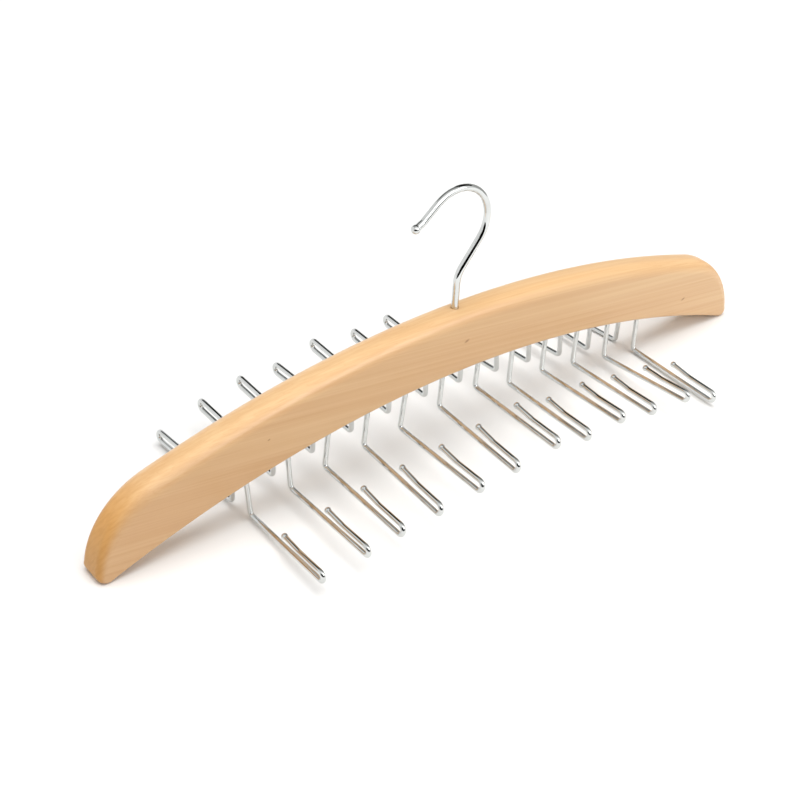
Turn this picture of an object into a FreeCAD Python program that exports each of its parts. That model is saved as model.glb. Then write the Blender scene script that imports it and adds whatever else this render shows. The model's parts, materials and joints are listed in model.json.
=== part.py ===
import FreeCAD, Part
import math
import os

# Wooden tie hanger: an arched bar, a swivelling ball-tipped hook and two rows of bent wire tie hooks.
# Millimetres. X runs along the bar, -Y is the front and +Z is up.
# The origin lies on the surface that the bar's feet stand on, below the middle of the bar.

# Wooden bar
BAR_LENGTH = 428.0
BAR_THICKNESS = 18.0
BAR_DEPTH = 34.8  # square to the arch, from the underside to the top
UNDERSIDE_RADIUS = 570.0
FOOT_LENGTH = 6.3  # flat that each end stands on, before its edges are rounded
TOP_EDGE_ROUND = 7.5
FOOT_EDGE_ROUND = 4.2  # what the top round shrinks to, down each nose
LOWER_EDGE_ROUND = 2.0

# Swivel hook
SWIVEL_WIRE = 3.8
SWIVEL_PLAY = 0.05  # radial, between the shank and its bore
BORE_EASE = 0.3  # countersink round the mouth of the bore
SWIVEL_STEM = 19.0  # top of the bar to the corner where the wire bends
STEM_BEND_RADIUS = 15.0
CROOK_RADIUS = 20.0  # to the middle of the wire
CROOK_HEIGHT = 48.3  # centre of the crook above the top of the bar
CROOK_OFFSET = 3.0  # centre of the crook, towards its open side
CROOK_END_ANGLE = 131.0  # where the crook runs out into its tail, from +X over the top
TAIL_LENGTH = 11.0
TAIL_KICK_ANGLE = 13.0
TAIL_KICK_RADIUS = 8.0
TAIL_KICK_LENGTH = 5.0
SWIVEL_BALL = 4.9
HEAD_DIAMETER = 6.4
HEAD_HEIGHT = 1.6
HEAD_PLAY = 0.1  # between the head and the washer that it bears on

# Washer in the underside of the bar
WASHER_DIAMETER = 10.0
WASHER_THICKNESS = 1.0
WASHER_PLAY = 0.1  # radial, round the shank and inside the counterbore
COUNTERBORE_DEPTH = 7.0

# Tie hooks
TIE_HOOK_PAIRS = 12
TIE_HOOK_PITCH = 24.2
TIE_ROW_OFFSET = 1.5  # middle of the rows, to +X of the middle of the bar
TIE_ROW_SPACING = 13.0  # between the front legs and the rear legs
TIE_WIRE = 2.7
TIE_HOLE_DEPTH = 14.0
TIE_HOLE_PLAY = 0.03  # radial glue line round each leg
TIE_HOLE_END_GAP = 0.5
LEG_DROP = 20.4  # underside of the bar to the middle of the lower wire
KNEE_RADIUS = 2.3
ARM_REACH = 65.0  # leg to the far end of the loop, middle to middle
ARM_RISE_ANGLE = 0.8
LOOP_SPACING = 5.8  # lower wire to return wire, middle to middle
RETURN_LENGTH = 20.0
RETURN_KICK_ANGLE = 6.0
RETURN_KICK_RADIUS = 16.0
RETURN_KICK_LENGTH = 12.6
TIE_BALL = 3.5

# Places worked out from the sizes above
HALF_LENGTH = BAR_LENGTH / 2
HALF_THICKNESS = BAR_THICKNESS / 2
FOOT_INNER_X = HALF_LENGTH - FOOT_LENGTH
ARCH_CENTRE_Z = -math.sqrt(UNDERSIDE_RADIUS**2 - FOOT_INNER_X**2)
UNDERSIDE_TOP_Z = ARCH_CENTRE_Z + UNDERSIDE_RADIUS
TOP_RADIUS = UNDERSIDE_RADIUS + BAR_DEPTH
BAR_TOP_Z = ARCH_CENTRE_Z + TOP_RADIUS
# The nose at each end is the one arc that runs on from the top and stands upright at the foot.
NOSE_RADIUS = (TOP_RADIUS**2 - ARCH_CENTRE_Z**2 - HALF_LENGTH**2) / (2 * (TOP_RADIUS - HALF_LENGTH))
WASHER_TOP_Z = UNDERSIDE_TOP_Z + COUNTERBORE_DEPTH
HEAD_TOP_Z = WASHER_TOP_Z - WASHER_THICKNESS - HEAD_PLAY
TOLERANCE = 1e-6


def underside_z(x):
    """Height of the bar's underside at a place along the bar."""
    return ARCH_CENTRE_Z + math.sqrt(UNDERSIDE_RADIUS**2 - x**2)


def arc_through(start, middle, end):
    """Arc edge through three points."""
    return Part.Arc(start, middle, end).toShape()


def on_circle(centre, radius, angle, plane):
    """Point on a circle at an angle in radians, in the plane of two unit vectors."""
    across, up = plane
    return centre + across * (radius * math.cos(angle)) + up * (radius * math.sin(angle))


def bent_path(corners, bend_radii):
    """Straight runs between corner points, joined at each inner corner by a tangent bend."""
    edges = []
    start = corners[0]
    for before, corner, after, radius in zip(corners, corners[1:], corners[2:], bend_radii):
        back = (before - corner).normalize()
        ahead = (after - corner).normalize()
        half_angle = back.getAngle(ahead) / 2
        setback = radius / math.tan(half_angle)
        bisector = (back + ahead).normalize()
        bend_centre = corner + bisector * (radius / math.sin(half_angle))
        bend_start = corner + back * setback
        bend_end = corner + ahead * setback
        if start.distanceToPoint(bend_start) > TOLERANCE:
            edges.append(Part.makeLine(start, bend_start))
        edges.append(arc_through(bend_start, bend_centre - bisector * radius, bend_end))
        start = bend_end
    edges.append(Part.makeLine(start, corners[-1]))
    return edges


def round_wire(edges, diameter):
    """Solid round wire along a chain of tangent edges."""
    path = Part.Wire(edges)
    first = edges[0]
    start = first.valueAt(first.FirstParameter)
    tangent = first.tangentAt(first.FirstParameter)
    section = Part.Wire(Part.Circle(start, tangent, diameter / 2).toShape())
    return path.makePipeShell([section], True, False)


def upright_cylinder(diameter, bottom, top, x=0.0, y=0.0):
    """Solid cylinder along Z between two heights."""
    return Part.makeCylinder(diameter / 2, top - bottom, FreeCAD.Vector(x, y, bottom))


def middle_of(edge):
    """Point halfway along an edge."""
    return edge.valueAt((edge.FirstParameter + edge.LastParameter) / 2)


def arch_distance(point):
    """Distance of a point from the axis that the bar's arcs share."""
    return math.hypot(point.x, point.z - ARCH_CENTRE_Z)


def tie_stations():
    """Places along the bar of the pairs of tie hooks."""
    first = TIE_ROW_OFFSET - TIE_HOOK_PITCH * (TIE_HOOK_PAIRS - 1) / 2
    return [first + index * TIE_HOOK_PITCH for index in range(TIE_HOOK_PAIRS)]


def bar_profile():
    """Side view of the bar: two feet, the underside, and a top that rolls into a nose at each end."""
    upright_plane = (FreeCAD.Vector(1, 0, 0), FreeCAD.Vector(0, 0, 1))
    arch_centre = FreeCAD.Vector(0, -HALF_THICKNESS, ARCH_CENTRE_Z)
    nose_centre = FreeCAD.Vector(HALF_LENGTH - NOSE_RADIUS, -HALF_THICKNESS, 0)
    nose_angle = math.atan2(-ARCH_CENTRE_Z, nose_centre.x)
    mirror = FreeCAD.Matrix()
    mirror.scale(-1, 1, 1)

    foot_end = FreeCAD.Vector(HALF_LENGTH, -HALF_THICKNESS, 0)
    foot_start = FreeCAD.Vector(FOOT_INNER_X, -HALF_THICKNESS, 0)
    nose_middle = on_circle(nose_centre, NOSE_RADIUS, nose_angle / 2, upright_plane)
    nose_top = on_circle(nose_centre, NOSE_RADIUS, nose_angle, upright_plane)
    top = on_circle(arch_centre, TOP_RADIUS, math.pi / 2, upright_plane)
    underside = on_circle(arch_centre, UNDERSIDE_RADIUS, math.pi / 2, upright_plane)
    edges = [
        arc_through(mirror * foot_start, underside, foot_start),
        Part.makeLine(foot_start, foot_end),
        arc_through(foot_end, nose_middle, nose_top),
        arc_through(nose_top, top, mirror * nose_top),
        arc_through(mirror * nose_top, mirror * nose_middle, mirror * foot_end),
        Part.makeLine(mirror * foot_end, mirror * foot_start),
    ]
    return Part.Face(Part.Wire(edges))


def is_top_edge(edge):
    """True for a front or rear edge of the top and the noses."""
    point = middle_of(edge)
    return abs(point.y) > TOLERANCE and arch_distance(point) > UNDERSIDE_RADIUS + BAR_DEPTH / 2


def is_lower_edge(edge):
    """True for an edge round the outside of the underside and the feet."""
    point = middle_of(edge)
    on_underside = arch_distance(point) < UNDERSIDE_RADIUS + TOLERANCE
    on_foot = point.z < TOLERANCE
    at_side = abs(point.y) > TOLERANCE
    at_end = abs(point.x) > HALF_LENGTH - TOLERANCE
    return (on_underside or on_foot) and (at_side or at_end)


def rounded(solid, radius, is_wanted):
    """Solid with the edges that pass a test rounded off."""
    return solid.makeFillet(radius, [edge for edge in solid.Edges if is_wanted(edge)])


def top_round_at(point):
    """Radius of the round along the top at one end of an edge: small at a foot, full elsewhere."""
    return FOOT_EDGE_ROUND if point.z < TOLERANCE else TOP_EDGE_ROUND


def top_rounded(solid):
    """Solid with its top edges rounded off, by a round that shrinks down each nose to the foot."""
    document = FreeCAD.newDocument()
    sharp = document.addObject("Part::Feature", "sharp")
    sharp.Shape = solid
    fillet = document.addObject("Part::Fillet", "fillet")
    fillet.Base = sharp
    radii = []
    for number, edge in enumerate(solid.Edges, start=1):
        if is_top_edge(edge):
            start = edge.valueAt(edge.FirstParameter)
            end = edge.valueAt(edge.LastParameter)
            radii.append((number, top_round_at(start), top_round_at(end)))
    fillet.Edges = radii
    document.recompute()
    return fillet.Shape.copy()


def tie_leg_places():
    """Name, place along the bar and side of each tie hook: -1 is the front row, 1 the rear row."""
    places = []
    for row, side in (("front", -1), ("rear", 1)):
        for number, x in enumerate(tie_stations(), start=1):
            places.append((f"tie_hook_{row}_{number:02d}", x, side))
    return places


def wooden_bar():
    """Arched bar with rounded edges, the hook's bore and counterbore, and a blind hole for each leg."""
    bar = bar_profile().extrude(FreeCAD.Vector(0, BAR_THICKNESS, 0))
    bar = top_rounded(bar)
    bar = rounded(bar, LOWER_EDGE_ROUND, is_lower_edge)

    bore_radius = SWIVEL_WIRE / 2 + SWIVEL_PLAY
    ease_bottom = FreeCAD.Vector(0, 0, BAR_TOP_Z - BORE_EASE)
    holes = [
        upright_cylinder(2 * bore_radius, 0, BAR_TOP_Z + BAR_DEPTH),
        Part.makeCone(bore_radius, bore_radius + 2 * BORE_EASE, 2 * BORE_EASE, ease_bottom),
        upright_cylinder(WASHER_DIAMETER + 2 * WASHER_PLAY, 0, WASHER_TOP_Z),
    ]
    for _, x, side in tie_leg_places():
        hole_top = underside_z(x) + TIE_HOLE_DEPTH
        hole_diameter = TIE_WIRE + 2 * TIE_HOLE_PLAY
        holes.append(upright_cylinder(hole_diameter, 0, hole_top, x, side * TIE_ROW_SPACING / 2))
    return bar.cut(holes)


def swivel_hook():
    """Hook wire: headed shank, stem, slant, crook, and a tail that kicks out to a ball tip."""
    upright_plane = (FreeCAD.Vector(1, 0, 0), FreeCAD.Vector(0, 0, 1))
    shank_bottom = FreeCAD.Vector(0, 0, HEAD_TOP_Z - HEAD_HEIGHT / 2)
    stem_top = FreeCAD.Vector(0, 0, BAR_TOP_Z + SWIVEL_STEM)
    crook_centre = FreeCAD.Vector(-CROOK_OFFSET, 0, BAR_TOP_Z + CROOK_HEIGHT)

    # The slant leaves the top of the stem and touches the crook on its closed side.
    to_stem = stem_top - crook_centre
    stem_angle = math.atan2(to_stem.z, to_stem.x)
    slant_angle = stem_angle + math.acos(CROOK_RADIUS / to_stem.Length)
    crook_end_angle = math.radians(CROOK_END_ANGLE)
    crook_start = on_circle(crook_centre, CROOK_RADIUS, slant_angle, upright_plane)
    crook_middle = on_circle(crook_centre, CROOK_RADIUS, (slant_angle + crook_end_angle) / 2, upright_plane)
    crook_end = on_circle(crook_centre, CROOK_RADIUS, crook_end_angle, upright_plane)

    tail_angle = crook_end_angle + math.pi / 2
    kick_angle = tail_angle - math.radians(TAIL_KICK_ANGLE)
    kick = on_circle(crook_end, TAIL_LENGTH, tail_angle, upright_plane)
    tip = on_circle(kick, TAIL_KICK_LENGTH, kick_angle, upright_plane)

    edges = bent_path([shank_bottom, stem_top, crook_start], [STEM_BEND_RADIUS])
    edges.append(arc_through(crook_start, crook_middle, crook_end))
    edges += bent_path([crook_end, kick, tip], [TAIL_KICK_RADIUS])
    wire = round_wire(edges, SWIVEL_WIRE)
    head = upright_cylinder(HEAD_DIAMETER, HEAD_TOP_Z - HEAD_HEIGHT, HEAD_TOP_Z)
    ball = Part.makeSphere(SWIVEL_BALL / 2, tip)
    return wire.fuse([head, ball]).removeSplitter()


def hook_washer():
    """Flat washer against the floor of the counterbore, which the hook's head bears on."""
    washer_bottom = WASHER_TOP_Z - WASHER_THICKNESS
    disc = upright_cylinder(WASHER_DIAMETER, washer_bottom, WASHER_TOP_Z)
    hole = upright_cylinder(SWIVEL_WIRE + 2 * WASHER_PLAY, washer_bottom, WASHER_TOP_Z)
    return disc.cut(hole)


def tie_hook(x, side):
    """Tie hook wire: leg, knee, lower wire, loop, and a return wire that kicks up to a ball tip."""
    leg_y = side * TIE_ROW_SPACING / 2
    rise = math.radians(ARM_RISE_ANGLE)
    kick = rise - math.radians(RETURN_KICK_ANGLE)
    outwards = FreeCAD.Vector(0, side * math.cos(rise), math.sin(rise))
    upwards = FreeCAD.Vector(0, -side * math.sin(rise), math.cos(rise))
    kicked_back = FreeCAD.Vector(0, -side * math.cos(kick), -math.sin(kick))

    leg_top = FreeCAD.Vector(x, leg_y, underside_z(x) + TIE_HOLE_DEPTH - TIE_HOLE_END_GAP)
    knee = FreeCAD.Vector(x, leg_y, underside_z(x) - LEG_DROP)
    loop_bottom = knee + outwards * ARM_REACH
    loop_top = loop_bottom + upwards * LOOP_SPACING
    kick_point = loop_top - outwards * RETURN_LENGTH
    tip = kick_point + kicked_back * RETURN_KICK_LENGTH

    corners = [leg_top, knee, loop_bottom, loop_top, kick_point, tip]
    loop_radius = LOOP_SPACING / 2
    edges = bent_path(corners, [KNEE_RADIUS, loop_radius, loop_radius, RETURN_KICK_RADIUS])
    ball = Part.makeSphere(TIE_BALL / 2, tip)
    return round_wire(edges, TIE_WIRE).fuse(ball).removeSplitter()


def make_parts():
    """Every piece of the hanger by its name."""
    parts = {
        "wooden_bar": wooden_bar(),
        "swivel_hook": swivel_hook(),
        "hook_washer": hook_washer(),
    }
    for name, x, side in tie_leg_places():
        parts[name] = tie_hook(x, side)
    return parts


if __name__ == "__main__":
    os.makedirs("parts", exist_ok=True)
    for name, shape in make_parts().items():
        shape.exportStep(f"parts/{name}.step")
        print(name, shape.isValid(), len(shape.Solids), round(shape.Volume, 1))
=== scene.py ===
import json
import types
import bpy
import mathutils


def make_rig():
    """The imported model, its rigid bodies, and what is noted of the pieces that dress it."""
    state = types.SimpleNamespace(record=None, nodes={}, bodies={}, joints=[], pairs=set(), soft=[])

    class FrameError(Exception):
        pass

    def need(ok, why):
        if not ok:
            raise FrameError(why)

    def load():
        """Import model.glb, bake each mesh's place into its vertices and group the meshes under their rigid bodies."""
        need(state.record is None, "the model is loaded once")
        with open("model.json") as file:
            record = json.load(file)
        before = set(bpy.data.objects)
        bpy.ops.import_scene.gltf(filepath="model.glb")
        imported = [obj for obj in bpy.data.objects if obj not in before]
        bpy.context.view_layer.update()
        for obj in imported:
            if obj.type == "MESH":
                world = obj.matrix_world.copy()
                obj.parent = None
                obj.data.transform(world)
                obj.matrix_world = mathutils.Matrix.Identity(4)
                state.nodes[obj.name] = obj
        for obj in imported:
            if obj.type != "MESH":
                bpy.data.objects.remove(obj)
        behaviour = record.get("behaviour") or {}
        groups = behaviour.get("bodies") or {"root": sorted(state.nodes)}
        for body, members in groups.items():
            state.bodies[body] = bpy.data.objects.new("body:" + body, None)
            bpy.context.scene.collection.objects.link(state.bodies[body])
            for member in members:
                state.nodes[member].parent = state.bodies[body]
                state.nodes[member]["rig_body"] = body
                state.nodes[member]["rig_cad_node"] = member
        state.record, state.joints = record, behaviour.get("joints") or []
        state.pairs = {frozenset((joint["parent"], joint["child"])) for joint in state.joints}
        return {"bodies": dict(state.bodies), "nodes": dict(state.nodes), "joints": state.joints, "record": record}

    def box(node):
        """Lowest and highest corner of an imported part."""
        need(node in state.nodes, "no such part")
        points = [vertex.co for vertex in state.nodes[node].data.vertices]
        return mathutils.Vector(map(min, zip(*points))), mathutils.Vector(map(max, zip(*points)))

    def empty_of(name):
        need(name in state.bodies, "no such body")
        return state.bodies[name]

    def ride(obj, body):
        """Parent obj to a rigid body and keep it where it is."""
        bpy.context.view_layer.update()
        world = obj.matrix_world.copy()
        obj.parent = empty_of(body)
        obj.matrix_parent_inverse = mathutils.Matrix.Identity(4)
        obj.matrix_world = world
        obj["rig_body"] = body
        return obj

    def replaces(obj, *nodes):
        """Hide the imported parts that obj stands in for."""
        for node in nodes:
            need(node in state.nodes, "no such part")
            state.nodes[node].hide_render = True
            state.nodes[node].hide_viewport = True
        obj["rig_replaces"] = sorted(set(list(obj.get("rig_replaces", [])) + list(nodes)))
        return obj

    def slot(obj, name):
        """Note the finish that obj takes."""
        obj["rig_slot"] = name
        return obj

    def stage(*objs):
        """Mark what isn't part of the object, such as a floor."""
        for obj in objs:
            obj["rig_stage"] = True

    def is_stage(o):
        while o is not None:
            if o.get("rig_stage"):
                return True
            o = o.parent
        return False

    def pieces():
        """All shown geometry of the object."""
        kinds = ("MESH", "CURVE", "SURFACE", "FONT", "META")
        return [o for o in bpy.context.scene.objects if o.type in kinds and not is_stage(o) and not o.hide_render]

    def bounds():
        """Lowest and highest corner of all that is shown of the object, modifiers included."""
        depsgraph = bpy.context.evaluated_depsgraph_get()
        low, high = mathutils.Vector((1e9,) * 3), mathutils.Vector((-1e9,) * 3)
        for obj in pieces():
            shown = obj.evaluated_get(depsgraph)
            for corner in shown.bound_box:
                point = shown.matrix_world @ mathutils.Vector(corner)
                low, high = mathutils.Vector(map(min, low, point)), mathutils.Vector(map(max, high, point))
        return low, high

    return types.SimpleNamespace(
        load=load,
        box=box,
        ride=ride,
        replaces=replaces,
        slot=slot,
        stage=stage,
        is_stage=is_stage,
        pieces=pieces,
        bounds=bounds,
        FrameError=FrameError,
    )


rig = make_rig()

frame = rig.load()
CAD_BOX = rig.bounds()

import json
import math

import bmesh
import bpy
from mathutils import Matrix, Vector

bl_info = {
    "name": "Tie Hanger",
    "version": (1, 0, 0),
    "blender": (4, 5, 0),
    "location": "View3D > Sidebar > Tie Hanger",
    "description": "Builds a wooden tie hanger with a swivel hook and two rows of wire tie hooks",
    "category": "Object",
}

# The frame is in metres: X runs along the bar, -Y is the front, and the feet stand on Z = 0.
MM = 0.001
# Points closer than this are one point.
WELD = 0.001 * MM
# No run between two rings of a wire is longer than this.
LONGEST_RUN = 3 * MM
BAR_LOW, BAR_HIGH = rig.box("wooden_bar")
HOOK_LOW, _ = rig.box("swivel_hook")
WASHER_LOW, WASHER_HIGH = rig.box("hook_washer")
TIE_HOOK_NODES = sorted(name for name in frame["nodes"] if name.startswith("tie_hook_"))
# Pin knots on the front, each a short slanting dash: millimetres along the bar from its middle,
# above the table, and half the length of the dash.
PIN_KNOTS = ((-119.9, 45.8, 1.1), (2.2, 57.4, 2.1), (170.0, 25.5, 2.0))


def linear(hex_colour):
    """Linear colour of an sRGB hex value."""
    channels = [int(hex_colour[start:start + 2], 16) / 255 for start in (1, 3, 5)]
    return tuple(c / 12.92 if c <= 0.04045 else ((c + 0.055) / 1.055) ** 2.4 for c in channels)


def length_property(name, description, millimetres):
    """Length that is shown in the sidebar."""
    return bpy.props.FloatProperty(
        name=name, description=description, default=millimetres * MM, unit="LENGTH", precision=4)


def angle_property(name, description, degrees):
    """Angle that is shown in the sidebar."""
    return bpy.props.FloatProperty(
        name=name, description=description, default=math.radians(degrees), subtype="ANGLE", precision=2)


def colour_property(name, description, hex_colour):
    """Colour that is shown in the sidebar."""
    return bpy.props.FloatVectorProperty(
        name=name, description=description, default=linear(hex_colour),
        subtype="COLOR", size=3, min=0.0, max=1.0)


class WoodenBarSettings(bpy.types.PropertyGroup):
    """Sizes and colours of the wooden bar. Its length, thickness and height come from the frame."""

    depth: length_property("Depth", "Bar from its underside to its top, square to the arch", 34.8)
    underside_radius: length_property("Underside radius", "Radius of the arch", 570)
    foot_length: length_property("Foot length", "Flat that each end stands on", 6.3)
    top_round: length_property("Top round", "Radius of the front and rear edges of the top", 7.5)
    foot_round: length_property("Foot round", "What the top round shrinks to down each nose", 4.2)
    lower_round: length_property("Lower round", "Radius of the edges of the underside", 2.0)
    bore_ease: length_property("Bore ease", "Countersink round the mouth of the hook's bore", 0.3)
    pale_wood: colour_property("Pale wood", "Early wood under clear lacquer", "#EFC793")
    warm_wood: colour_property("Warm wood", "Late wood in the growth bands", "#DFAD77")
    # Deep wood deepens the sides towards the left end. It is partly a deeper wood tone and partly painted shade for
    # the light falling off there.
    deep_wood_and_shade: colour_property("Deep wood", "What tints the sides towards the left end", "#E9DDD0")
    end_wood: colour_property("End wood", "End grain, which drinks more lacquer", "#E2A964")
    deep_end: colour_property("Deep end", "Late wood in the end grain", "#BE7F38")
    fleck: colour_property("Fleck", "Pin knots on the front", "#A05E22")


class SwivelHookSettings(bpy.types.PropertyGroup):
    """Sizes of the swivel hook and its washer."""

    wire: length_property("Wire", "Diameter of the wire", 3.8)
    play: length_property("Play", "Gap round the shank in its bore", 0.05)
    stem: length_property("Stem", "Top of the bar to the corner where the wire bends", 19)
    stem_bend: length_property("Stem bend", "Bend radius between the stem and the slant", 15)
    crook_radius: length_property("Crook radius", "Radius of the crook, to the middle of the wire", 20)
    crook_height: length_property("Crook height", "Centre of the crook above the bar", 48.3)
    crook_offset: length_property("Crook offset", "Centre of the crook towards its open side", 3.0)
    crook_end: angle_property("Crook end", "Where the crook runs out into its tail", 131)
    tail: length_property("Tail", "Straight tail after the crook", 11)
    tail_kick: angle_property("Tail kick", "Turn of the tail towards its tip", 13)
    tail_kick_radius: length_property("Tail kick radius", "Bend radius of the kick", 8)
    tail_end: length_property("Tail end", "Length after the kick", 5)
    ball: length_property("Ball", "Diameter of the ball tip", 4.9)
    head: length_property("Head", "Diameter of the head on the lower end", 6.4)
    head_height: length_property("Head height", "Height of the head", 1.6)
    chrome: colour_property("Chrome", "Bright plate on the wire", "#D9DBDA")
    zinc: colour_property("Zinc", "Plate on the washer", "#C3C7C9")


class TieHookSettings(bpy.types.PropertyGroup):
    """Sizes of the wire tie hooks. Their places come from the frame."""

    wire: length_property("Wire", "Diameter of the wire", 2.7)
    knee: length_property("Knee", "Bend radius between the leg and the lower wire", 2.3)
    reach: length_property("Reach", "Leg to the far end of the loop", 65)
    rise: angle_property("Rise", "Slope of the lower wire", 0.8)
    spacing: length_property("Spacing", "Lower wire to return wire", 5.8)
    back: length_property("Return", "Straight part of the return wire", 20)
    kick: angle_property("Kick", "Turn of the return wire towards its tip", 6)
    kick_radius: length_property("Kick radius", "Bend radius of the kick", 16)
    tip: length_property("Tip", "Length after the kick", 12.6)
    ball: length_property("Ball", "Diameter of the ball tip", 3.5)
    drop: length_property("Drop", "Underside of the bar to the lower wire", 20.4)
    chrome: colour_property("Chrome", "Bright plate on the wire", "#D6D8D7")


class StudioSettings(bpy.types.PropertyGroup):
    """Colours of the studio."""

    table: colour_property("Table", "Matt table as it is seen", "#F8F8F7")
    bounce: colour_property("Bounce", "Matt table as it lights the object from below", "#DCDCDA")
    card: colour_property("Card", "Black cards that the plated wires mirror", "#0B0A09")
    panel: colour_property("Panel", "Face of the softbox that the plated wires mirror", "#FFFFFF")
    grey: colour_property("Grey", "Wall and ceiling that the plated wires mirror", "#B4B4B2")


class TieHangerSettings(bpy.types.PropertyGroup):
    """Every setting of the tie hanger."""

    bar: bpy.props.PointerProperty(type=WoodenBarSettings)
    hook: bpy.props.PointerProperty(type=SwivelHookSettings)
    tie_hooks: bpy.props.PointerProperty(type=TieHookSettings)
    studio: bpy.props.PointerProperty(type=StudioSettings)


# Shapes that several pieces share

def along_arc(centre, radius, start, end, step):
    """Points on an arc in the plane of X and Z, both ends included, about a step apart."""
    count = max(2, math.ceil(abs(end - start) * radius / step))
    angles = [start + (end - start) * index / count for index in range(count + 1)]
    return [centre + Vector((math.cos(a), math.sin(a))) * radius for a in angles]


def bent_path(corners, radii, step):
    """Points along straight runs that tangent bends join, in a plane."""
    points = [corners[0]]
    for before, corner, after, radius in zip(corners, corners[1:], corners[2:], radii):
        back = (before - corner).normalized()
        ahead = (after - corner).normalized()
        half_angle = back.angle(ahead) / 2
        bisector = (back + ahead).normalized()
        centre = corner + bisector * (radius / math.sin(half_angle))
        first = corner + back * (radius / math.tan(half_angle)) - centre
        turn = math.pi - 2 * half_angle
        if back.x * ahead.y - back.y * ahead.x > 0:
            turn = -turn
        angle = math.atan2(first.y, first.x)
        points += along_arc(centre, radius, angle, angle + turn, step)
    points.append(corners[-1])
    return points


def with_stations(points, step):
    """The same path with extra points, so that no run is longer than a step."""
    dense = [points[0]]
    for start, end in zip(points, points[1:]):
        count = max(1, math.ceil((end - start).length / step))
        dense += [start.lerp(end, index / count) for index in range(1, count + 1)]
    runs = [(end - start).length for start, end in zip(dense, dense[1:])]
    return dense[:1] + [point for point, run in zip(dense[1:], runs) if run > WELD]


def ball_tip(path, wire_radius, ball_radius, neck):
    """Path and radii of a wire with a ball round its end. Close rings start a neck before the ball."""
    along = (path[-1] - path[-2]).normalized()
    reach = math.sqrt(ball_radius**2 - wire_radius**2) + neck
    total = sum((b - a).length for a, b in zip(path, path[1:]))
    kept, radii, travelled = [], [], 0.0
    for index, point in enumerate(path):
        travelled += (point - path[index - 1]).length if index else 0.0
        if travelled < total - reach:
            kept.append(point)
            radii.append(wire_radius)
    rings = 24
    for index in range(rings + 1):
        place = -reach + (reach + ball_radius) * math.sin(math.pi / 2 * index / rings)
        on_ball = math.sqrt(max(0.0, ball_radius**2 - place**2))
        kept.append(path[-1] + along * place)
        radii.append(on_ball if place > 0 else max(wire_radius, on_ball))
    return kept, radii


def swept_wire(name, path, radii, lift, sides=28):
    """Mesh of a round wire, closed at both ends. Lift turns a point of its flat path into a frame point."""
    shape = bmesh.new()
    turns = [2 * math.pi * number / sides for number in range(sides)]
    rings = []
    for index, (point, radius) in enumerate(zip(path, radii)):
        before, after = path[max(index - 1, 0)], path[min(index + 1, len(path) - 1)]
        along = (lift(after) - lift(before)).normalized()
        flat = after - before
        across = lift(point + Vector((-flat.y, flat.x)).normalized() * MM) - lift(point)
        side = (across - along * across.dot(along)).normalized()
        other_side = along.cross(side)
        centre = lift(point)
        if radius < WELD:
            rings.append([shape.verts.new(centre)])
            continue
        rings.append([
            shape.verts.new(centre + (side * math.cos(turn) + other_side * math.sin(turn)) * radius)
            for turn in turns])
    for ring, after in zip(rings, rings[1:]):
        for number in range(sides):
            following = (number + 1) % sides
            if len(after) == 1:
                shape.faces.new((ring[number], ring[following], after[0]))
            else:
                shape.faces.new((ring[number], ring[following], after[following], after[number]))
    shape.faces.new(rings[0])
    if len(rings[-1]) > 1:
        shape.faces.new(rings[-1])
    return finished_mesh(shape, name)


def finished_mesh(shape, name, sharp_angle=35):
    """Mesh of a bmesh with outward normals, smooth except over its sharp edges."""
    bmesh.ops.recalc_face_normals(shape, faces=shape.faces)
    mesh = bpy.data.meshes.new(name)
    shape.to_mesh(mesh)
    shape.free()
    mesh.polygons.foreach_set("use_smooth", [True] * len(mesh.polygons))
    mesh.set_sharp_from_angle(angle=math.radians(sharp_angle))
    return mesh


def placed_piece(name, mesh, material, body, node, slot, place=None):
    """Piece that stands for a CAD node and moves with its body."""
    piece = bpy.data.objects.new(name, mesh)
    bpy.context.scene.collection.objects.link(piece)
    if place is not None:
        piece.matrix_world = place
    mesh.materials.append(material)
    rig.ride(piece, body)
    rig.replaces(piece, node)
    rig.slot(piece, slot)
    return piece


# Finishes

# A Mix node has several sockets of each name, so its colour sockets are found by number.
FACTOR, FIRST, SECOND, MIXED = 0, 6, 7, 2


def add_node(tree, kind, settings=None, inputs=None):
    """New node with its settings; an input that is a socket is linked and any other is set."""
    node = tree.nodes.new(kind)
    for name, value in (settings or {}).items():
        setattr(node, name, value)
    for name, value in (inputs or {}).items():
        if isinstance(value, bpy.types.NodeSocket):
            tree.links.new(value, node.inputs[name])
        else:
            node.inputs[name].default_value = value
    return node


def new_material(name):
    """Empty material with its node tree and output."""
    material = bpy.data.materials.new(name)
    material.use_nodes = True
    material.node_tree.nodes.clear()
    output = add_node(material.node_tree, "ShaderNodeOutputMaterial")
    return material, material.node_tree, output


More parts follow.
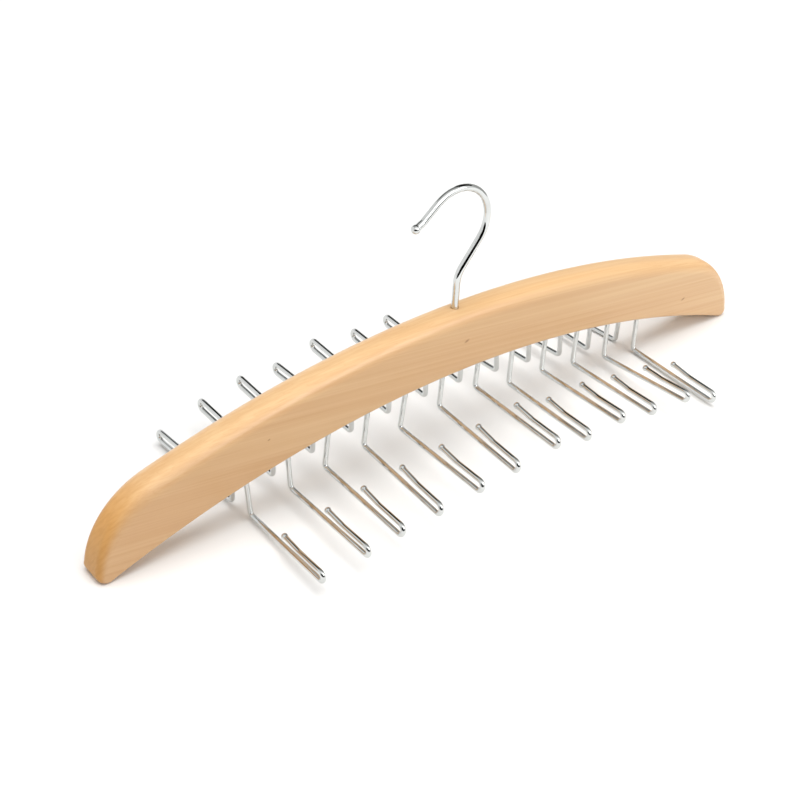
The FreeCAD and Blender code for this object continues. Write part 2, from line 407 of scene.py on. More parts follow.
def lacquered_schima(settings):
    """Pale plain-sawn hardwood, sanded smooth under a thin satin lacquer."""
    # The eye sees honey-coloured wood with faint straight rings and fibres that run through the board,
    # a slow drift of tone, a few pin knots, and a darker orange where the ends cut across the fibres.
    material, tree, output = new_material("lacquered_schima_wood")
    coordinates = add_node(tree, "ShaderNodeTexCoord")
    # Millimetres with X along the grain, which falls towards the right end, and Z across the growth rings,
    # which lean through the board so that its sides cut them wide and its top cuts them narrow.
    grain_fall = math.radians(7.5)
    ring_lean = math.radians(65)
    falling = add_node(tree, "ShaderNodeMapping", {}, {
        "Vector": coordinates.outputs["Object"], "Rotation": (0, -grain_fall, 0),
        "Scale": (1 / MM, 1 / MM, 1 / MM)})
    grain = add_node(tree, "ShaderNodeMapping", {}, {
        "Vector": falling.outputs["Vector"], "Rotation": (ring_lean, 0, 0)})
    facing = add_node(tree, "ShaderNodeSeparateXYZ", {}, {"Vector": coordinates.outputs["Normal"]})
    sideways = add_node(tree, "ShaderNodeMath", {"operation": "ABSOLUTE"}, {0: facing.outputs["Y"]})
    side_share = add_node(tree, "ShaderNodeMapRange", {"interpolation_type": "SMOOTHSTEP"}, {
        "Value": sideways.outputs["Value"], "From Min": 0.35, "From Max": 0.85})
    # Growth bands are 1.3 mm wide and 320 mm long.
    # Fibres are finer than a pixel, so they are drawn 0.5 mm wide and 160 mm long to show.
    # Tone drifts over patches 14 mm wide and 170 mm long.
    # Slimness is the width as a share of the breadth along a ring.
    patterns = []
    for length, width, slimness, detail, roughness in (
            (320, 1.3, 0.3, 1.0, 0.55), (160, 0.5, 0.3, 1.0, 0.55), (170, 14, 1, 2.0, 0.5)):
        place = add_node(tree, "ShaderNodeMapping", {}, {
            "Vector": grain.outputs["Vector"], "Scale": (1 / length, slimness / width, 1 / width)})
        patterns.append(add_node(tree, "ShaderNodeTexNoise", {}, {
            "Vector": place.outputs["Vector"], "Scale": 1.0, "Detail": detail, "Roughness": roughness}))
    bands, fibres, drift = patterns

    band_share = add_node(tree, "ShaderNodeMapRange", {}, {
        "Value": bands.outputs["Fac"], "From Min": 0.3, "From Max": 0.7, "To Min": -0.05, "To Max": 0.34})
    fibre_share = add_node(tree, "ShaderNodeMapRange", {}, {
        "Value": fibres.outputs["Fac"], "From Min": 0.3, "From Max": 0.7, "To Min": -0.08, "To Max": 0.16})
    drift_share = add_node(tree, "ShaderNodeMapRange", {}, {
        "Value": drift.outputs["Fac"], "From Min": 0.3, "From Max": 0.7, "To Min": 0.0, "To Max": 0.34})
    # Each growth ring closes with a thin darker line, drawn where the bands cross their middle tone.
    middle_tone = 0.5
    ring_place = add_node(tree, "ShaderNodeMath", {"operation": "SUBTRACT"}, {
        0: bands.outputs["Fac"], 1: middle_tone})
    ring_distance = add_node(tree, "ShaderNodeMath", {"operation": "ABSOLUTE"}, {
        0: ring_place.outputs["Value"]})
    ring_line = add_node(tree, "ShaderNodeMapRange", {"interpolation_type": "SMOOTHSTEP"}, {
        "Value": ring_distance.outputs["Value"], "From Min": 0.0, "From Max": 0.03,
        "To Min": 0.24, "To Max": 0.0})
    fine_streaks = add_node(tree, "ShaderNodeMath", {"operation": "ADD"}, {
        0: ring_line.outputs["Result"], 1: fibre_share.outputs["Result"]})
    streaks = add_node(tree, "ShaderNodeMath", {"operation": "ADD"}, {
        0: band_share.outputs["Result"], 1: fine_streaks.outputs["Value"]})
    warmth = add_node(tree, "ShaderNodeMath", {"operation": "ADD", "use_clamp": True}, {
        0: streaks.outputs["Value"], 1: drift_share.outputs["Result"]})
    board = add_node(tree, "ShaderNodeMix", {"data_type": "RGBA"}, {
        FACTOR: warmth.outputs["Value"],
        FIRST: (*settings.pale_wood, 1),
        SECOND: (*settings.warm_wood, 1)})
    # The sides deepen slowly towards the left end. This is partly a deeper wood tone and partly painted shade for the
    # light that falls off towards that end.
    place_along = add_node(tree, "ShaderNodeSeparateXYZ", {}, {"Vector": coordinates.outputs["Object"]})
    left_tone_and_shade = add_node(tree, "ShaderNodeMapRange", {}, {
        "Value": place_along.outputs["X"], "From Min": BAR_LOW.x, "From Max": BAR_HIGH.x,
        "To Min": 0.75, "To Max": 0.22})
    side_tone_and_shade = add_node(tree, "ShaderNodeMath", {"operation": "MULTIPLY", "use_clamp": True}, {
        0: left_tone_and_shade.outputs["Result"], 1: side_share.outputs["Result"]})
    long_grain = add_node(tree, "ShaderNodeMix", {"data_type": "RGBA", "blend_type": "MULTIPLY"}, {
        FACTOR: side_tone_and_shade.outputs["Value"],
        FIRST: board.outputs[MIXED],
        SECOND: (*settings.deep_wood_and_shade, 1)})

    # End grain shows where the surface faces along the board, and the bands make its edge uneven.
    edge_wander = 0.1
    along = add_node(tree, "ShaderNodeMath", {"operation": "ABSOLUTE"}, {0: facing.outputs["X"]})
    end_edge = add_node(tree, "ShaderNodeMath", {"operation": "MULTIPLY_ADD"}, {
        0: bands.outputs["Fac"], 1: edge_wander, 2: along.outputs["Value"]})
    end_share = add_node(tree, "ShaderNodeMapRange", {"interpolation_type": "SMOOTHSTEP"}, {
        "Value": end_edge.outputs["Value"], "From Min": 0.25, "From Max": 0.85,
        "To Min": 0.0, "To Max": 0.95})
    # Its rings show darker, most of all along the ridge between a side and the nose.
    ridge_depth = 0.4
    ridge = add_node(tree, "ShaderNodeMath", {"operation": "MULTIPLY"}, {
        0: along.outputs["Value"], 1: sideways.outputs["Value"]})
    end_rings = add_node(tree, "ShaderNodeMapRange", {}, {
        "Value": bands.outputs["Fac"], "From Min": 0.4, "From Max": 0.65, "To Min": 0.0, "To Max": 0.2})
    end_depth = add_node(tree, "ShaderNodeMath", {"operation": "MULTIPLY_ADD", "use_clamp": True}, {
        0: ridge.outputs["Value"], 1: ridge_depth, 2: end_rings.outputs["Result"]})
    end_grain = add_node(tree, "ShaderNodeMix", {"data_type": "RGBA"}, {
        FACTOR: end_depth.outputs["Value"],
        FIRST: (*settings.end_wood, 1),
        SECOND: (*settings.deep_end, 1)})
    grained = add_node(tree, "ShaderNodeMix", {"data_type": "RGBA"}, {
        FACTOR: end_share.outputs["Result"],
        FIRST: long_grain.outputs[MIXED],
        SECOND: end_grain.outputs[MIXED]})

    # A pin knot goes 4 mm into the wood and is a little under half as high as it is long.
    knot_slant = math.radians(20)
    knot_depth = 4 * MM
    knot_height = 0.45
    colour = grained
    for x, z, half_length in PIN_KNOTS:
        knot_place = add_node(tree, "ShaderNodeMapping", {"vector_type": "TEXTURE"}, {
            "Vector": coordinates.outputs["Object"], "Location": (x * MM, BAR_LOW.y, z * MM),
            "Rotation": (0, -knot_slant, 0),
            "Scale": (half_length * MM, knot_depth, knot_height * half_length * MM)})
        distance = add_node(tree, "ShaderNodeVectorMath", {"operation": "LENGTH"}, {
            0: knot_place.outputs["Vector"]})
        knot_share = add_node(tree, "ShaderNodeMapRange", {"interpolation_type": "SMOOTHSTEP"}, {
            "Value": distance.outputs["Value"], "From Min": 0.2, "From Max": 1.1,
            "To Min": 0.75, "To Max": 0.0})
        colour = add_node(tree, "ShaderNodeMix", {"data_type": "RGBA"}, {
            FACTOR: knot_share.outputs["Result"],
            FIRST: colour.outputs[MIXED],
            SECOND: (*settings.fleck, 1)})

    # End grain soaks the lacquer up and shines less.
    lacquer = add_node(tree, "ShaderNodeMapRange", {}, {
        "Value": end_share.outputs["Result"], "To Min": 0.65, "To Max": 0.1})
    polish = add_node(tree, "ShaderNodeMapRange", {}, {
        "Value": end_share.outputs["Result"], "To Min": 0.5, "To Max": 0.2})
    sheen = add_node(tree, "ShaderNodeMapRange", {}, {
        "Value": fibres.outputs["Fac"], "From Min": 0.3, "From Max": 0.7, "To Min": 0.38, "To Max": 0.5})
    bump = add_node(tree, "ShaderNodeBump", {}, {
        "Height": fibres.outputs["Fac"], "Strength": 0.25, "Distance": 0.05 * MM})
    shader = add_node(tree, "ShaderNodeBsdfPrincipled", {}, {
        "Base Color": colour.outputs[MIXED], "Roughness": sheen.outputs["Result"],
        "Normal": bump.outputs["Normal"], "IOR": 1.5,
        "Specular IOR Level": polish.outputs["Result"],
        "Coat Weight": lacquer.outputs["Result"], "Coat Roughness": 0.3, "Coat IOR": 1.5})
    tree.links.new(shader.outputs["BSDF"], output.inputs["Surface"])
    return material


def bright_chrome(name, colour):
    """Drawn steel wire, polished and plated with bright chrome."""
    # The eye sees a clear mirror with a faint ripple from drawing and bending, and a few duller patches.
    material, tree, output = new_material(name)
    coordinates = add_node(tree, "ShaderNodeTexCoord")
    # The ripple is about 5 mm long.
    ripple = add_node(tree, "ShaderNodeTexNoise", {}, {
        "Vector": coordinates.outputs["Object"], "Scale": 1 / (5 * MM), "Detail": 1.0})
    # Handling dulls patches about 9 mm across.
    handling = add_node(tree, "ShaderNodeTexNoise", {}, {
        "Vector": coordinates.outputs["Object"], "Scale": 1 / (9 * MM), "Detail": 3.0})
    tone = add_node(tree, "ShaderNodeMapRange", {}, {
        "Value": handling.outputs["Fac"], "From Min": 0.35, "From Max": 0.75})
    dull_colour = [0.9 * channel for channel in colour]
    plate = add_node(tree, "ShaderNodeMix", {"data_type": "RGBA"}, {
        FACTOR: tone.outputs["Result"],
        FIRST: (*colour, 1),
        SECOND: (*dull_colour, 1)})
    polish = add_node(tree, "ShaderNodeMapRange", {}, {
        "Value": handling.outputs["Fac"], "From Min": 0.3, "From Max": 0.7, "To Min": 0.02, "To Max": 0.06})
    bump = add_node(tree, "ShaderNodeBump", {}, {
        "Height": ripple.outputs["Fac"], "Strength": 0.05, "Distance": 0.03 * MM})
    shader = add_node(tree, "ShaderNodeBsdfPrincipled", {}, {
        "Base Color": plate.outputs[MIXED], "Metallic": 1.0,
        "Roughness": polish.outputs["Result"], "Normal": bump.outputs["Normal"]})
    tree.links.new(shader.outputs["BSDF"], output.inputs["Surface"])
    return material


def zinc_plate(colour):
    """Stamped steel washer, barrel-plated with zinc."""
    # The eye sees a soft grey metal with fine scuffs from tumbling in the barrel.
    material, tree, output = new_material("barrel_plated_zinc")
    coordinates = add_node(tree, "ShaderNodeTexCoord")
    # Scuffs are about 0.6 mm across.
    scuffs = add_node(tree, "ShaderNodeTexNoise", {}, {
        "Vector": coordinates.outputs["Object"], "Scale": 1 / (0.6 * MM), "Detail": 4.0, "Distortion": 0.8})
    scuffed_colour = [0.75 * channel for channel in colour]
    plate = add_node(tree, "ShaderNodeMix", {"data_type": "RGBA"}, {
        FACTOR: scuffs.outputs["Fac"],
        FIRST: (*colour, 1),
        SECOND: (*scuffed_colour, 1)})
    dullness = add_node(tree, "ShaderNodeMapRange", {}, {
        "Value": scuffs.outputs["Fac"], "From Min": 0.3, "From Max": 0.7, "To Min": 0.28, "To Max": 0.45})
    bump = add_node(tree, "ShaderNodeBump", {}, {
        "Height": scuffs.outputs["Fac"], "Strength": 0.3, "Distance": 0.02 * MM})
    shader = add_node(tree, "ShaderNodeBsdfPrincipled", {}, {
        "Base Color": plate.outputs[MIXED], "Metallic": 1.0,
        "Roughness": dullness.outputs["Result"], "Normal": bump.outputs["Normal"]})
    tree.links.new(shader.outputs["BSDF"], output.inputs["Surface"])
    return material


# Pieces

class TIEHANGER_OT_wooden_bar(bpy.types.Operator):
    """Arched wooden bar with rounded edges and the holes for its wires"""

    bl_idname = "tie_hanger.wooden_bar"
    bl_label = "Wooden Bar"

    def outline(self, bar):
        """Points round the side view of the bar, each with its outward direction and its edge round."""
        half_length = (BAR_HIGH.x - BAR_LOW.x) / 2
        foot_inner = half_length - bar.foot_length
        arch_z = -math.sqrt(bar.underside_radius**2 - foot_inner**2)
        top_radius = bar.underside_radius + bar.depth
        nose_radius = (top_radius**2 - arch_z**2 - half_length**2) / (2 * (top_radius - half_length))
        arch_centre = Vector((0, arch_z))
        nose_centre = Vector((half_length - nose_radius, 0))
        nose_angle = math.atan2(-arch_z, nose_centre.x)
        foot_angle = math.atan2(-arch_z, foot_inner)
        # The round under the end is a little larger than the edge rounds that run into it.
        end_round = bar.foot_round + 0.3 * MM
        end_reach = nose_radius - end_round
        end_rise = math.asin(end_round / end_reach)
        end_centre = nose_centre + Vector((math.cos(end_rise), math.sin(end_rise))) * end_reach
        arch_step, nose_step, end_step = 2 * MM, 1 * MM, 0.4 * MM

        right = []
        for point in along_arc(arch_centre, bar.underside_radius, math.pi / 2, foot_angle, arch_step):
            right.append((point, (arch_centre - point).normalized(), bar.lower_round))
        # Two points on the foot's flat, clear of both of its ends.
        for share in (0.3, 0.65):
            point = Vector((foot_inner, 0)).lerp(Vector((end_centre.x, 0)), share)
            right.append((point, Vector((0, -1)), bar.lower_round))
        for point in along_arc(end_centre, end_round, -math.pi / 2, end_rise, end_step):
            outward = (point - end_centre).normalized()
            turned = (math.atan2(outward.y, outward.x) + math.pi / 2) / (math.pi / 2 + end_rise)
            right.append((point, outward, bar.lower_round + (bar.foot_round - bar.lower_round) * turned))
        for point in along_arc(nose_centre, nose_radius, end_rise, nose_angle, nose_step)[1:]:
            outward = (point - nose_centre).normalized()
            climbed = math.atan2(outward.y, outward.x) / nose_angle
            right.append((point, outward, bar.foot_round + (bar.top_round - bar.foot_round) * climbed))
        for point in along_arc(arch_centre, top_radius, nose_angle, math.pi / 2, arch_step)[1:]:
            right.append((point, (point - arch_centre).normalized(), bar.top_round))
        mirror = Vector((-1, 1))
        left = [(point * mirror, outward * mirror, radius) for point, outward, radius in right[1:-1]]
        return right + left[::-1]

    def solid_bar(self, bar):
        """Mesh of the bar before it is bored: the outline drawn out, with a quarter round to each side."""
        half_thickness = (BAR_HIGH.y - BAR_LOW.y) / 2
        steps = 9
        turns = [math.pi / 2 * step / steps for step in range(steps + 1)]
        levels = [(-1, turn) for turn in reversed(turns)] + [(1, turn) for turn in turns]
        shape = bmesh.new()
        rings = []
        outline = self.outline(bar)
        for side, turn in levels:
            ring = []
            for point, outward, radius in outline:
                inset = point - outward * (radius * (1 - math.cos(turn)))
                y = side * (half_thickness - radius + radius * math.sin(turn))
                ring.append(shape.verts.new((inset.x, y, inset.y)))
            rings.append(ring)
        count = len(outline)
        for ring, after in zip(rings, rings[1:]):
            for number in range(count):
                following = (number + 1) % count
                shape.faces.new((ring[number], ring[following], after[following], after[number]))
        shape.faces.new(rings[0])
        shape.faces.new(rings[-1])
        return finished_mesh(shape, "bar_blank")

    def hole_cutters(self, bar, hook, tie_hooks):
        """Mesh of everything that is bored out of the bar."""
        shape = bmesh.new()
        washer_play, leg_play = 0.1 * MM, 0.08 * MM
        # The cutters reach well out of the bar, and a leg's hole ends a little past the leg.
        over, under, past_leg, drill = 5 * MM, 20 * MM, 0.5 * MM, 40 * MM
        bore = hook.wire / 2 + hook.play
        counterbore = (WASHER_HIGH.x - WASHER_LOW.x) / 2 + washer_play
        seat = WASHER_HIGH.z
        top = BAR_HIGH.z
        turned = [
            (0, seat - under), (counterbore, seat - under), (counterbore, seat), (bore, seat),
            (bore, top - bar.bore_ease), (bore + bar.bore_ease + over, top + over), (0, top + over)]
        profile = [shape.verts.new((radius, 0, z)) for radius, z in turned]
        edges = [shape.edges.new(pair) for pair in zip(profile, profile[1:])]
        bmesh.ops.spin(
            shape, geom=profile + edges, cent=(0, 0, 0), axis=(0, 0, 1), angle=2 * math.pi, steps=48)
        for node in TIE_HOOK_NODES:
            low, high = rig.box(node)
            y = math.copysign(min(abs(low.y), abs(high.y)) + tie_hooks.wire / 2, low.y + high.y)
            hole = tie_hooks.wire / 2 + leg_play
            bmesh.ops.create_cone(
                shape, cap_ends=True, segments=28, radius1=hole, radius2=hole, depth=drill,
                matrix=Matrix.Translation(((low.x + high.x) / 2, y, high.z + past_leg - drill / 2)))
        bmesh.ops.remove_doubles(shape, verts=shape.verts, dist=WELD)
        return finished_mesh(shape, "bar_holes")

    def execute(self, context):
        settings = context.scene.tie_hanger
        blank = bpy.data.objects.new("bar_blank", self.solid_bar(settings.bar))
        cutters = bpy.data.objects.new(
            "bar_hole_cutters", self.hole_cutters(settings.bar, settings.hook, settings.tie_hooks))
        for tool in (blank, cutters):
            context.scene.collection.objects.link(tool)
        boring = blank.modifiers.new("boring", "BOOLEAN")
        boring.operation = "DIFFERENCE"
        boring.solver = "EXACT"
        boring.object = cutters
        bored = bmesh.new()
        bored.from_object(blank, context.evaluated_depsgraph_get())
        for tool in (blank, cutters):
            bpy.data.objects.remove(tool)
        fewest_faces = 1000
        if len(bored.faces) < fewest_faces:
            raise RuntimeError("boring the bar left too little of it")
        # Boring leaves slivers of no width where the holes meet the middle of the outline.
        bmesh.ops.remove_doubles(bored, verts=bored.verts, dist=WELD)
        piece = placed_piece(
            "lacquered_bar", finished_mesh(bored, "lacquered_bar"), lacquered_schima(settings.bar),
            "bar", "wooden_bar", "bar_wood")
        weighted = piece.modifiers.new("flat_faces_keep_flat", "WEIGHTED_NORMAL")
        weighted.keep_sharp = True
        weighted.weight = 80
        return {"FINISHED"}


class TIEHANGER_OT_swivel_hook(bpy.types.Operator):
    """Chromed wire hook that turns in the bar"""

    bl_idname = "tie_hanger.swivel_hook"
    bl_label = "Swivel Hook"

    def execute(self, context):
        hook = context.scene.tie_hanger.hook
        crook_step, bend_step, neck = 0.6 * MM, 0.5 * MM, 0.5 * MM
        bar_top = BAR_HIGH.z
        stem_top = Vector((0, bar_top + hook.stem))
        centre = Vector((-hook.crook_offset, bar_top + hook.crook_height))
        # The slant leaves the top of the stem and touches the crook on its closed side.
        to_stem = stem_top - centre
        slant = math.atan2(to_stem.y, to_stem.x) + math.acos(hook.crook_radius / to_stem.length)
        crook = along_arc(centre, hook.crook_radius, slant, hook.crook_end, crook_step)
        tail_angle = hook.crook_end + math.pi / 2
        kick_angle = tail_angle - hook.tail_kick
        kick = crook[-1] + Vector((math.cos(tail_angle), math.sin(tail_angle))) * hook.tail
        tip = kick + Vector((math.cos(kick_angle), math.sin(kick_angle))) * hook.tail_end

        shank_bottom = Vector((0, HOOK_LOW.z + hook.head_height))
        path = bent_path([shank_bottom, stem_top, crook[0]], [hook.stem_bend], bend_step)
        path += crook[1:-1]
        path += bent_path([crook[-1], kick, tip], [hook.tail_kick_radius], bend_step)
        path, radii = ball_tip(with_stations(path, LONGEST_RUN), hook.wire / 2, hook.ball / 2, neck)

        # The head on the lower end is a short disc with eased rims.
        ease = 0.3 * MM
        rim = hook.head / 2
        head = [
            (0, rim - ease), (ease, rim), (hook.head_height - ease, rim), (hook.head_height, rim - ease),
            (hook.head_height, hook.wire / 2)]
        path = [Vector((0, HOOK_LOW.z + height)) for height, _ in head] + path[1:]
        radii = [radius for _, radius in head] + radii[1:]
        mesh = swept_wire(
            "plated_swivel_hook", path, radii, lambda point: Vector((point.x, 0, point.y)), sides=40)
        placed_piece("plated_swivel_hook", mesh, bright_chrome("bright_chrome_hook_wire", hook.chrome),
                     "hook", "swivel_hook", "swivel_chrome")
        return {"FINISHED"}


class TIEHANGER_OT_hook_washer(bpy.types.Operator):
    """Zinc-plated washer that the swivel hook's head bears on"""

    bl_idname = "tie_hanger.hook_washer"
    bl_label = "Hook Washer"

    def execute(self, context):
        hook = context.scene.tie_hanger.hook
        hole_play = 0.1 * MM
        outer = (WASHER_HIGH.x - WASHER_LOW.x) / 2
        inner = hook.wire / 2 + hole_play
        low, high = WASHER_LOW.z, WASHER_HIGH.z
        # Stamping rolls the upper rims over and leaves the lower ones crisp.
        roll = 0.25 * MM
        crisp = 0.08 * MM
        # The middle of a rolled rim lies this far inside its corner.
        bulge = 0.3 * roll
        section = [
            (inner, low + crisp), (inner + crisp, low), (outer - crisp, low), (outer, low + crisp),
            (outer, high - roll), (outer - bulge, high - bulge), (outer - roll, high),
            (inner + roll, high), (inner + bulge, high - bulge), (inner, high - roll)]
        shape = bmesh.new()
        corners = [shape.verts.new((radius, 0, z)) for radius, z in section]
        edges = [shape.edges.new(pair) for pair in zip(corners, corners[1:] + corners[:1])]
        bmesh.ops.spin(
            shape, geom=corners + edges, cent=(0, 0, 0), axis=(0, 0, 1), angle=2 * math.pi, steps=64)
        bmesh.ops.remove_doubles(shape, verts=shape.verts, dist=WELD)
        mesh = finished_mesh(shape, "plated_washer")
        placed_piece("plated_washer", mesh, zinc_plate(hook.zinc), "bar", "hook_washer", "washer_steel")
        return {"FINISHED"}


class TIEHANGER_OT_tie_hooks(bpy.types.Operator):
    """Chromed wire tie hooks in a front and a rear row"""

    bl_idname = "tie_hanger.tie_hooks"
    bl_label = "Tie Hooks"

    # Each hook is bent by hand a little off true. From the left end of a row, the degrees that its leg
    # leans towards +X, that its arm swings towards +X and that its arm tips up, and the millimetres that
    # its leg is longer than the plan.
    FRONT_BENDS = (
        (6, -2, 3, 0.6), (5, 0, 0, 0), (-5, -1, -1, 0), (-5, -2, -2, 0),
        (-7, 0, -1, 0.6), (-3, -2, -2, -1.6), (-3, 0, -1.5, -4.6), (-1, -2, 1, 1.5),
        (-1, -2, 3, 0.4), (-1, -2, 2.5, 1.4), (2, -1, 5, 2.2), (2, -2, 0, 0.6))
    REAR_BENDS = (
        (0, -3, -1, 0), (0, -2, 3, 0), (0, -2, 4, 0), (0, -3, 1, 0),
        (0, -3, 5, 0), (1, 0, 1, 0), (0, -1, 2, 0), (6, 0, -5, 1.8),
        (5, -2, -3, 2.5), (5, -3, -4, 4.2), (2, -2, 1, 4.2), (-1, -7, 0, 1.2))

    def hook_mesh(self, hooks, leg_height, lean, swing, tip_up, longer):
        """Mesh of one hook about its planned knee: the leg stands up and the arm reaches towards -Y."""
        bend_step, neck = 0.35 * MM, 0.4 * MM
        outwards = Vector((math.cos(hooks.rise), math.sin(hooks.rise)))
        upwards = Vector((-outwards.y, outwards.x))
        kicked = hooks.rise - hooks.kick
        loop_bottom = outwards * hooks.reach
        loop_top = loop_bottom + upwards * hooks.spacing
        kick_point = loop_top - outwards * hooks.back
        tip = kick_point - Vector((math.cos(kicked), math.sin(kicked))) * hooks.tip
        corners = [Vector((0, leg_height + longer)), Vector((0, 0)), loop_bottom, loop_top, kick_point, tip]
        # The loop is one half round, so its two bends stop just short of meeting.
        loop = hooks.spacing / 2 - WELD
        path = bent_path(corners, [hooks.knee, loop, loop, hooks.kick_radius], bend_step)
        path, radii = ball_tip(with_stations(path, LONGEST_RUN), hooks.wire / 2, hooks.ball / 2, neck)

        def bent(point):
            """Place of a path point: only what hangs below the bar leans, swings and tips."""
            below = max(0.0, hooks.drop + longer - point.y)
            return Vector((
                below * math.tan(lean) + point.x * math.tan(swing),
                -point.x,
                point.y - longer + point.x * math.tan(tip_up)))

        return swept_wire("plated_tie_hook", path, radii, bent)

    def execute(self, context):
        hooks = context.scene.tie_hanger.tie_hooks
        chrome = bright_chrome("bright_chrome_tie_wire", hooks.chrome)
        for node in TIE_HOOK_NODES:
            low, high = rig.box(node)
            row, number = node.split("_")[2:]
            towards, bends = (-1, self.FRONT_BENDS) if row == "front" else (1, self.REAR_BENDS)
            *angles, longer = bends[int(number) - 1]
            lean, swing, tip_up = (math.radians(angle) for angle in angles)
            leg_height = high.z - low.z - hooks.wire / 2
            # A rear hook is a front hook turned half round, which turns its bends towards +X as well.
            mesh = self.hook_mesh(
                hooks, leg_height, -towards * lean, -towards * swing, tip_up, longer * MM)
            leg_y = min(abs(low.y), abs(high.y)) + hooks.wire / 2
            knee = Vector(((low.x + high.x) / 2, towards * leg_y, low.z + hooks.wire / 2))
            turn = Matrix.Rotation(0 if row == "front" else math.pi, 4, "Z")
            placed_piece(f"plated_{row}_tie_hook_{number}", mesh, chrome, "bar", node, "tie_chrome",
                         Matrix.Translation(knee) @ turn)
        return {"FINISHED"}


class TIEHANGER_OT_studio(bpy.types.Operator):
    """White table, soft light, cards for the plated wires to mirror, and the camera"""

    bl_idname = "tie_hanger.studio"
    bl_label = "Studio"

    # Lengths are in metres and angles in degrees, except where a name says otherwise.
    TABLE_HALF_SIDE = 6
    CARD_LIFT = 0.002
    # Each card's name, colour, strength and distance, the turn of its middle from +X, its width round
    # the object, and how high its lower and upper edge stand.
    CARDS = (
        ("far_right_card", "card", 1.0, 1.6, 18, 78, 24, 60),
        ("far_left_card", "card", 1.0, 1.6, 88, 62, 38, 60),
        ("near_card", "card", 1.0, 0.62, -127, 59, 0, 38),
        ("low_card", "card", 1.0, 0.54, -114, 106, 0, 19),
        ("grey_wall", "grey", 1.0, 0.6, 15, 84, 0, 36),
        ("dim_ceiling", "grey", 1.0, 1.7, 75, 210, 57, 90),
        ("lit_panel", "panel", 2.2, 1.7, -98, 76, 24, 58),
    )
    # The room is white to the camera and in mirror finishes, and lights matt surfaces less.
    ROOM_SEEN = 1.0
    ROOM_FILL = 0.24
    KEY_STRENGTH = 2.7
    KEY_WIDTH = 60
    SOFTBOX_WATTS = 3.1
    SOFTBOX_WIDTH = 0.9
    SOFTBOX_HEIGHT = 0.4
    SOFTBOX_PLACE = (0.26, -0.76, 0.48)
    # Turn from the front, lift above the table and roll
    CAMERA_ANGLES = (-39.650389, 35.232162, -3.073043)
    CAMERA_PLACE_MM = (-437.794, -488.577, 477.200)
    SENSOR_MM = 36
    LENS_MM = 67.678

    def table(self, colour, bounce):
        """Matt white table that runs out of the picture."""
        shape = bmesh.new()
        bmesh.ops.create_grid(shape, x_segments=24, y_segments=24, size=self.TABLE_HALF_SIDE)
        table = bpy.data.objects.new("white_table", finished_mesh(shape, "white_table"))
        material, tree, output = new_material("matt_white_laminate")
        rays = add_node(tree, "ShaderNodeLightPath")
        shade = add_node(tree, "ShaderNodeMix", {"data_type": "RGBA"}, {
            FACTOR: rays.outputs["Is Diffuse Ray"],
            FIRST: (*colour, 1),
            SECOND: (*bounce, 1)})
        shader = add_node(tree, "ShaderNodeBsdfPrincipled", {}, {
            "Base Color": shade.outputs[MIXED], "Roughness": 0.9, "Specular IOR Level": 0.1})
        tree.links.new(shader.outputs["BSDF"], output.inputs["Surface"])
        table.data.materials.append(material)
        return table

    def card(self, name, colour, strength, radius, turn, width, bottom, top):
        """Curved card round the object, seen only in mirror finishes."""
        columns, rows = 24, 8
        shape = bmesh.new()
        grid = []
        for row in range(rows + 1):
            lift = math.radians(bottom + (top - bottom) * row / rows)
            line = []
            for column in range(columns + 1):
                angle = math.radians(turn + width * (column / columns - 0.5))
                line.append(shape.verts.new((
                    radius * math.cos(lift) * math.cos(angle), radius * math.cos(lift) * math.sin(angle),
                    radius * math.sin(lift) + self.CARD_LIFT)))
            grid.append(line)
        for line, above in zip(grid, grid[1:]):
            for a, b, c, d in zip(line, line[1:], above[1:], above):
                shape.faces.new((a, b, c, d))
        card = bpy.data.objects.new(name, finished_mesh(shape, name))
        material, tree, output = new_material(name)
        paint = add_node(tree, "ShaderNodeEmission", {}, {"Color": (*colour, 1), "Strength": strength})
        tree.links.new(paint.outputs["Emission"], output.inputs["Surface"])
        card.data.materials.append(material)
        card.visible_camera = False
        card.visible_diffuse = False
        card.visible_transmission = False
        card.visible_shadow = False
        return card

    def light(self, scene):
        """White room that fills softly, a broad key overhead, and a softbox in front on the right."""
        world = bpy.data.worlds.new("white_studio")
        world.use_nodes = True
        tree = world.node_tree
        tree.nodes.clear()
        rays = add_node(tree, "ShaderNodeLightPath")
        seen = add_node(tree, "ShaderNodeMath", {"operation": "MAXIMUM"}, {
            0: rays.outputs["Is Camera Ray"], 1: rays.outputs["Is Glossy Ray"]})
        seen = add_node(tree, "ShaderNodeMath", {"operation": "MAXIMUM"}, {
            0: seen.outputs["Value"], 1: rays.outputs["Is Transmission Ray"]})
        level = add_node(tree, "ShaderNodeMapRange", {}, {
            "Value": seen.outputs["Value"], "To Min": self.ROOM_FILL, "To Max": self.ROOM_SEEN})
        white = add_node(tree, "ShaderNodeBackground", {}, {
            "Color": (1, 1, 1, 1), "Strength": level.outputs["Result"]})
        add_node(tree, "ShaderNodeOutputWorld", {}, {"Surface": white.outputs["Background"]})
        scene.world = world

        key = bpy.data.lights.new("overhead_key", "SUN")
        key.energy = self.KEY_STRENGTH
        key.angle = math.radians(self.KEY_WIDTH)
        key_lamp = bpy.data.objects.new("overhead_key", key)
        # Mirror finishes show the room and its cards, not the key.
        key_lamp.visible_glossy = False

        fill = bpy.data.lights.new("front_softbox", "AREA")
        fill.shape = "RECTANGLE"
        fill.energy = self.SOFTBOX_WATTS
        fill.size = self.SOFTBOX_WIDTH
        fill.size_y = self.SOFTBOX_HEIGHT
        fill_lamp = bpy.data.objects.new("front_softbox", fill)
        fill_lamp.location = self.SOFTBOX_PLACE
        fill_lamp.rotation_euler = fill_lamp.location.to_track_quat("Z", "Y").to_euler()
        return [key_lamp, fill_lamp]

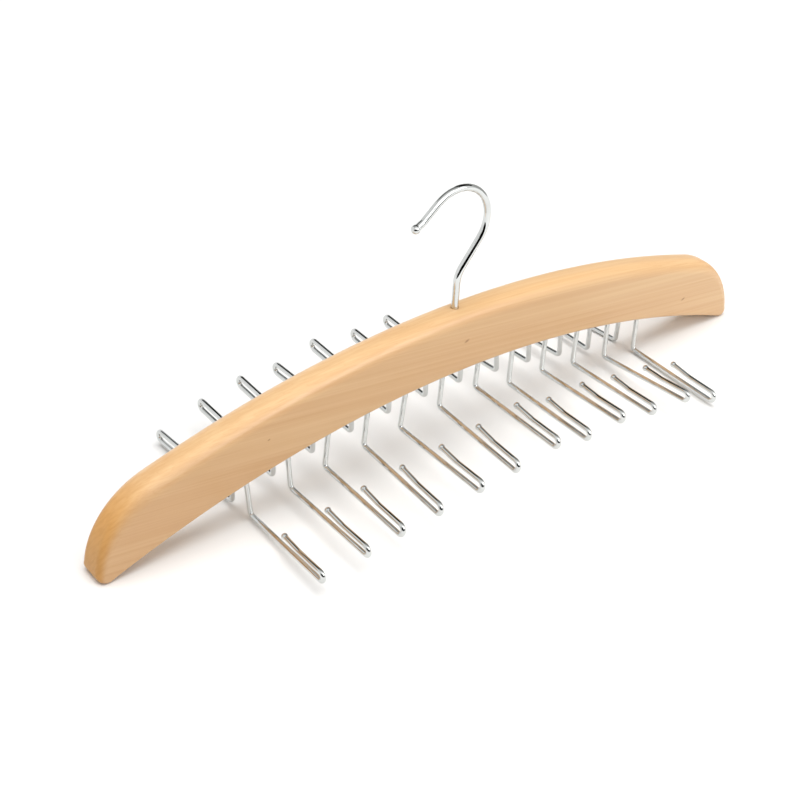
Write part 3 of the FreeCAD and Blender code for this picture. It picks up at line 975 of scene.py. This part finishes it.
    def camera(self):
        """Camera at the photograph's viewing angle."""
        turn, lift, roll = (math.radians(angle) for angle in self.CAMERA_ANGLES)
        back = Vector((math.sin(turn) * math.cos(lift), -math.cos(turn) * math.cos(lift), math.sin(lift)))
        level_right = (-back).cross(Vector((0, 0, 1))).normalized()
        level_down = (-back).cross(level_right)
        right = level_right * math.cos(roll) + level_down * math.sin(roll)
        down = level_down * math.cos(roll) - level_right * math.sin(roll)
        pose = Matrix((right, -down, back)).transposed().to_4x4()
        pose.translation = Vector(self.CAMERA_PLACE_MM) * MM
        lens = bpy.data.cameras.new("photo_camera")
        lens.sensor_width = self.SENSOR_MM
        lens.lens = self.LENS_MM
        camera = bpy.data.objects.new("photo_camera", lens)
        camera.matrix_world = pose
        return camera

    def execute(self, context):
        scene = context.scene
        studio = scene.tie_hanger.studio
        scenery = [self.table(studio.table, studio.bounce)]
        for name, colour, *placing in self.CARDS:
            scenery.append(self.card(name, getattr(studio, colour), *placing))
        camera = self.camera()
        for thing in [*scenery, *self.light(scene), camera]:
            scene.collection.objects.link(thing)
        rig.stage(*scenery)
        scene.camera = camera
        scene.view_settings.view_transform = "Standard"
        return {"FINISHED"}


class TIEHANGER_PT_sidebar(bpy.types.Panel):
    """Buttons and settings of the tie hanger"""

    bl_idname = "TIEHANGER_PT_sidebar"
    bl_label = "Tie Hanger"
    bl_space_type = "VIEW_3D"
    bl_region_type = "UI"
    bl_category = "Tie Hanger"

    def draw(self, context):
        settings = context.scene.tie_hanger
        # The washer has its settings with the hook.
        groups = (settings.bar, settings.hook, None, settings.tie_hooks, settings.studio)
        for operator, group in zip(OPERATORS, groups):
            box = self.layout.box()
            box.operator(operator.bl_idname)
            for name in group.bl_rna.properties.keys() if group else ():
                if name not in ("rna_type", "name"):
                    box.prop(group, name)


OPERATORS = (
    TIEHANGER_OT_wooden_bar,
    TIEHANGER_OT_swivel_hook,
    TIEHANGER_OT_hook_washer,
    TIEHANGER_OT_tie_hooks,
    TIEHANGER_OT_studio,
)
CLASSES = (
    WoodenBarSettings,
    SwivelHookSettings,
    TieHookSettings,
    StudioSettings,
    TieHangerSettings,
    *OPERATORS,
    TIEHANGER_PT_sidebar,
)


def register():
    for cls in CLASSES:
        bpy.utils.register_class(cls)
    bpy.types.Scene.tie_hanger = bpy.props.PointerProperty(type=TieHangerSettings)


def unregister():
    del bpy.types.Scene.tie_hanger
    for cls in reversed(CLASSES):
        bpy.utils.unregister_class(cls)


def main():
    register()
    bpy.ops.tie_hanger.wooden_bar()
    bpy.ops.tie_hanger.swivel_hook()
    bpy.ops.tie_hanger.hook_washer()
    bpy.ops.tie_hanger.tie_hooks()
    bpy.ops.tie_hanger.studio()
    boxes = {"cad": CAD_BOX, "visual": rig.bounds()}
    with open("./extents.json", "w") as file:
        json.dump({name: [list(low), list(high)] for name, (low, high) in boxes.items()}, file)


if __name__ == "__main__":
    main()
